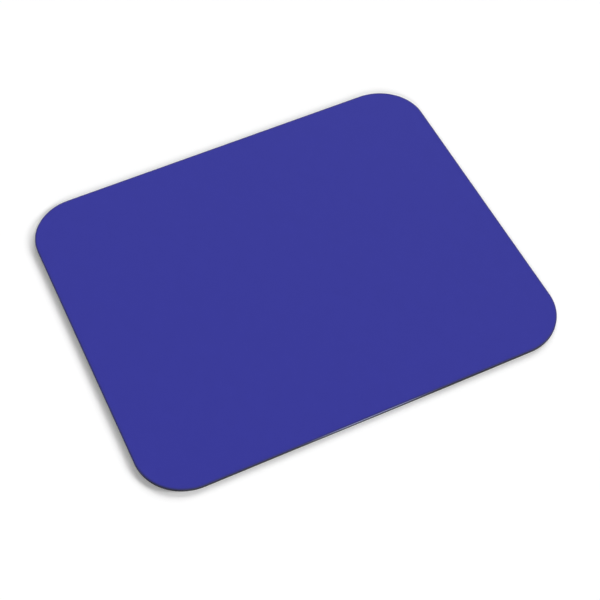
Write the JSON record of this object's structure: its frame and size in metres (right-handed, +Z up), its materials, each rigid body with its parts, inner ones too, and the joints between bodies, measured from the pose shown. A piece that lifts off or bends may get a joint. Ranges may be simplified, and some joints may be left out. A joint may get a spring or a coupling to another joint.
{
  "type": "mouse pad",
  "caption": "Thin flat desk pad with widely rounded corners: a smooth knitted cloth face bonded by a pale film to a non-slip foam rubber base, for a computer mouse to glide on.",
  "frame": {"origin": "middle of the underside, where the pad lies on a desk", "axes": "+X along the long side, +Y along the short side away from the user, +Z up through the cloth face"},
  "size_m": [0.26, 0.22, 0.002],
  "materials": {
    "black_foam_rubber": "matt black sponge rubber with fine cut cells at the edge and a shallow non-slip emboss underneath",
    "pale_film": "milky satin film",
    "blue_knit": "fine close knit, even violet-blue, matt with a faint sheen"
  },
  "bodies": {
    "root": {"foam_base": "black_foam_rubber", "bonding_film": "pale_film", "cloth_top": "blue_knit"}
  },
  "joints": []
}
